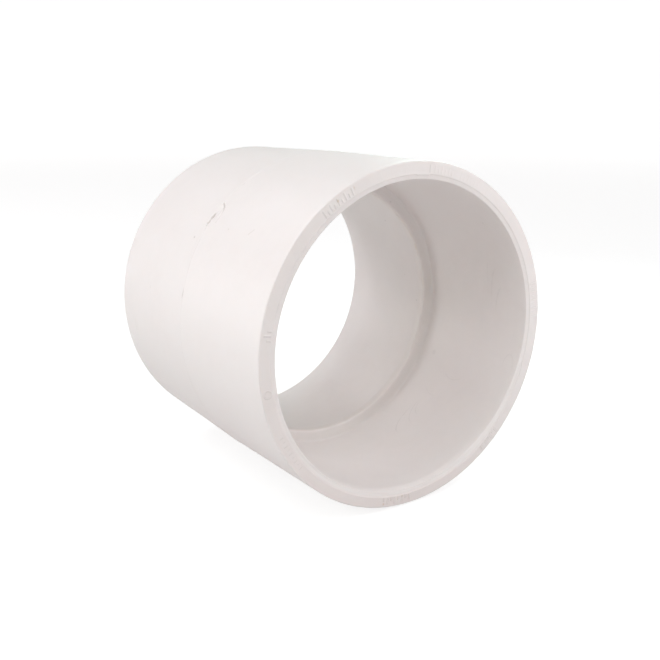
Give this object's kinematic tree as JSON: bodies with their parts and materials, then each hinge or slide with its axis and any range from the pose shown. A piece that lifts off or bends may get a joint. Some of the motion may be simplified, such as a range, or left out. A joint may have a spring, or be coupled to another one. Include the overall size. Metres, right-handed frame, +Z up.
{
  "type": "pipe coupling",
  "caption": "Straight moulded PVC slip coupling: a short thick-walled white tube with a push-in pipe socket in each end and a narrow stop ring between them.",
  "frame": {"origin": "the middle of the fitting, on the bore's axis, in the plane of the mould's parting line", "axes": "+Y along the bore, from the mouth that the picture shows towards the far mouth; +Z up, with the fitting lying on its side"},
  "size_m": [0.1292, 0.1186, 0.1292],
  "materials": {
    "white_pvc": "smooth injection-moulded PVC with a soft satin sheen"
  },
  "bodies": {
    "root": {"coupling_body": "white_pvc"}
  },
  "joints": []
}
